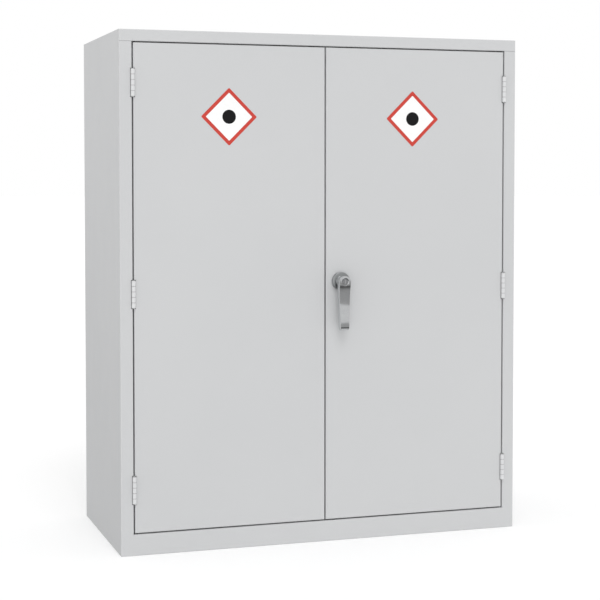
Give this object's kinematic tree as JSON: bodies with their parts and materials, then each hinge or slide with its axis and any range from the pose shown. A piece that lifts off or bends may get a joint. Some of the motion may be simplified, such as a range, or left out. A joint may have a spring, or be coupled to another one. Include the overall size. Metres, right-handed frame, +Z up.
{
  "type": "flammable storage cabinet",
  "caption": "Folded sheet-steel safety cabinet with two flush hinged doors, a lever that drives lock rods, spill-tray shelves and a sump for storing flammable liquids.",
  "frame": {"origin": "on the floor, in the middle of the box round the whole cabinet and its lever", "axes": "+Z up; +Y from the doors to the back; +X to the right as seen from the front"},
  "size_m": [1, 0.495, 1.22],
  "materials": {
    "grey_paint": "light grey powder coat, satin, with a fine orange-peel texture",
    "zinc": "bright zinc plate",
    "chrome": "polished chrome plate",
    "rubber": "matt black rubber",
    "guide_plastic": "moulded black plastic",
    "sign_vinyl": "printed vinyl, semi-gloss"
  },
  "bodies": {
    "carcass": {"left_side_panel": "grey_paint", "right_side_panel": "grey_paint", "back_panel": "grey_paint", "top_panel": "grey_paint", "front_plinth": "grey_paint", "upper_door_stop": "grey_paint", "lower_door_stop": "grey_paint", "upper_keep_plate": "zinc", "lower_keep_plate": "zinc", "door_buffers": "rubber", "sump_tray": "grey_paint", "left_front_upright": "grey_paint", "left_rear_upright": "grey_paint", "right_front_upright": "grey_paint", "right_rear_upright": "grey_paint", "upper_shelf": "grey_paint", "lower_shelf": "grey_paint", "upper_shelf_clips": "zinc", "lower_shelf_clips": "zinc", "left_lower_frame_leaf": "grey_paint", "left_middle_frame_leaf": "grey_paint", "left_upper_frame_leaf": "grey_paint", "right_lower_frame_leaf": "grey_paint", "right_middle_frame_leaf": "grey_paint", "right_upper_frame_leaf": "grey_paint", "left_lower_hinge_pin": "grey_paint", "left_middle_hinge_pin": "grey_paint", "left_upper_hinge_pin": "grey_paint", "right_lower_hinge_pin": "grey_paint", "right_middle_hinge_pin": "grey_paint", "right_upper_hinge_pin": "grey_paint"},
    "left_door": {"left_door": "grey_paint", "left_door_stiffener": "grey_paint", "left_sign": "sign_vinyl", "left_lower_door_leaf": "grey_paint", "left_middle_door_leaf": "grey_paint", "left_upper_door_leaf": "grey_paint"},
    "right_door": {"right_door": "grey_paint", "right_door_stiffener": "grey_paint", "right_sign": "sign_vinyl", "right_lower_door_leaf": "grey_paint", "right_middle_door_leaf": "grey_paint", "right_upper_door_leaf": "grey_paint", "handle_backplate": "chrome", "backplate_nut": "zinc", "lock_bracket": "zinc", "rod_guides": "guide_plastic"},
    "handle": {"lever": "chrome", "key_cylinder": "chrome", "spindle": "zinc", "cam": "zinc", "latch_tongue": "zinc", "spindle_screw": "zinc"},
    "key": {"key_plug": "chrome"},
    "upper_rod": {"upper_lock_rod": "zinc"},
    "lower_rod": {"lower_lock_rod": "zinc"}
  },
  "joints": [
    {"name": "left_door_swing", "type": "hinge", "parent": "carcass", "child": "left_door", "pos_m": [-0.4685, -0.2115, 0.61], "axis": [0, 0, -1], "range_deg": [0, 180]},
    {"name": "right_door_swing", "type": "hinge", "parent": "carcass", "child": "right_door", "pos_m": [0.4685, -0.2115, 0.61], "axis": [0, 0, 1], "range_deg": [0, 180]},
    {"name": "handle_turn", "type": "hinge", "parent": "right_door", "child": "handle", "pos_m": [0.038, -0.2095, 0.63], "axis": [0, -1, 0], "range_deg": [0, 90]},
    {"name": "key_turn", "type": "hinge", "parent": "handle", "child": "key", "pos_m": [0.038, -0.2095, 0.63], "axis": [0, -1, 0], "range_deg": [0, 90]},
    {"name": "upper_rod_slide", "type": "slide", "parent": "right_door", "child": "upper_rod", "axis": [0, 0, 1], "range_m": [0, 0.02263]},
    {"name": "lower_rod_slide", "type": "slide", "parent": "right_door", "child": "lower_rod", "axis": [0, 0, -1], "range_m": [0, 0.02263]}
  ],
  "couplings": [
    {"joint": "upper_rod_slide", "follows": "handle_turn", "m_per_rad": 0.014405},
    {"joint": "lower_rod_slide", "follows": "handle_turn", "m_per_rad": 0.014405}
  ]
}
